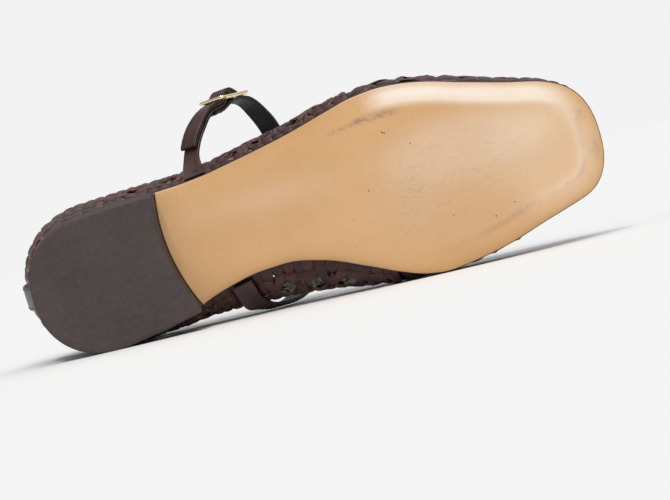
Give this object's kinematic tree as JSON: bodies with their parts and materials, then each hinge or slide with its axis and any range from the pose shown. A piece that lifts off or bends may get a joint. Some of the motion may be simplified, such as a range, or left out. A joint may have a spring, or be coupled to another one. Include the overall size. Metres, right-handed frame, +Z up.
{
  "type": "mary jane flat",
  "caption": "Woven leather mary jane flat, right shoe, with an instep strap buckled on the outer side and a low heel, lying on its inner side.",
  "frame": {"origin": "middle of the shoe's box on the floor, as the shoe lies on its medial side", "axes": "+X from heel to toe along the floor, +Y from the sole towards the collar, +Z up from the floor, towards the lateral side"},
  "size_m": [0.2552, 0.0772, 0.0999],
  "materials": {
    "sole_leather": "smooth veg-tanned leather, lightly scuffed",
    "heel_stack": "dark painted edge",
    "heel_rubber": "matt",
    "insole_leather": "smooth",
    "woven_leather": "polished, woven",
    "strap_leather": "smooth, semi-gloss",
    "gold_metal": "polished, gold-plated"
  },
  "bodies": {
    "root": {"outsole": "sole_leather", "heel_block": "heel_stack", "heel_top_piece": "heel_rubber", "insole": "insole_leather", "upper": "woven_leather", "back_strip": "strap_leather", "instep_strap": "strap_leather", "buckle_strap": "strap_leather", "buckle_frame": "gold_metal", "buckle_prong": "gold_metal"}
  },
  "joints": []
}
